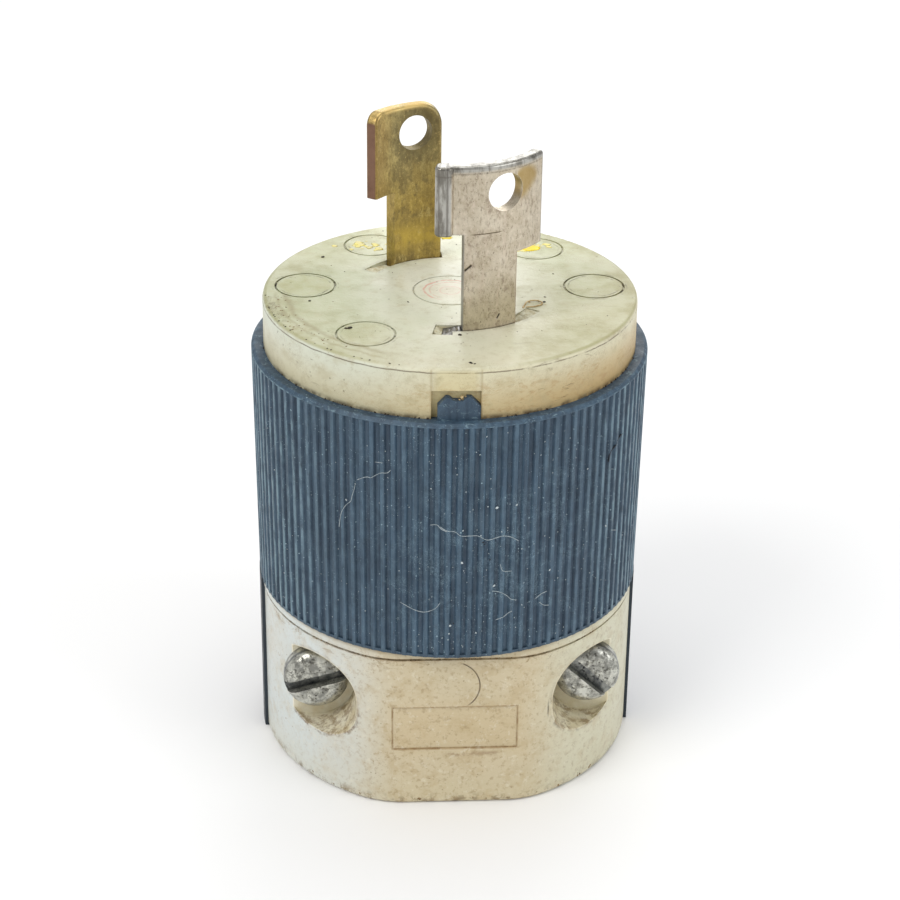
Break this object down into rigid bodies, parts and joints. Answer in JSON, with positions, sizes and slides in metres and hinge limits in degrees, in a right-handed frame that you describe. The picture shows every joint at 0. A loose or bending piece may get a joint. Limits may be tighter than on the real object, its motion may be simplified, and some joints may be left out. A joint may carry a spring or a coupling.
{
  "type": "twist lock plug",
  "caption": "Cylindrical twist-lock power plug: curved hooked blades on a pale face disc, dark ribbed grip sleeve, split cord clamp with side screws.",
  "frame": {"origin": "centre of the plug's circular base, at the cord end", "axes": "+Z along the plug's axis towards the blade tips; -Y is the side with the clamp's flat and screw heads; +X to the right seen from that side"},
  "size_m": [0.0398, 0.0398, 0.0659],
  "materials": {
    "ivory_nylon": "satin, yellowed and dirt-lined moulded nylon",
    "clamp_nylon": "satin moulded nylon with tan stains",
    "slate_nylon": "matte dark moulded nylon with paler rib edges and dust",
    "block_nylon": "plain moulded nylon",
    "brass_blade": "tarnished brass",
    "nickel_blade": "worn nickel plate over brass",
    "screw_steel": "pitted steel",
    "zinc_steel": "zinc-plated steel",
    "insert_brass": "turned brass"
  },
  "bodies": {
    "root": {"face_body": "ivory_nylon", "cord_clamp": "clamp_nylon", "grip_housing": "slate_nylon", "terminal_block": "block_nylon", "blade_hot": "brass_blade", "blade_neutral": "nickel_blade", "clamp_screw_left": "screw_steel", "clamp_screw_right": "screw_steel", "clamp_nut_left": "zinc_steel", "clamp_nut_right": "zinc_steel", "assembly_screw_front": "zinc_steel", "assembly_screw_rear": "zinc_steel", "thread_insert_front": "insert_brass", "thread_insert_rear": "insert_brass", "terminal_screw_hot": "insert_brass", "terminal_screw_neutral": "zinc_steel", "wire_plate_hot": "insert_brass", "wire_plate_neutral": "zinc_steel"}
  },
  "joints": []
}
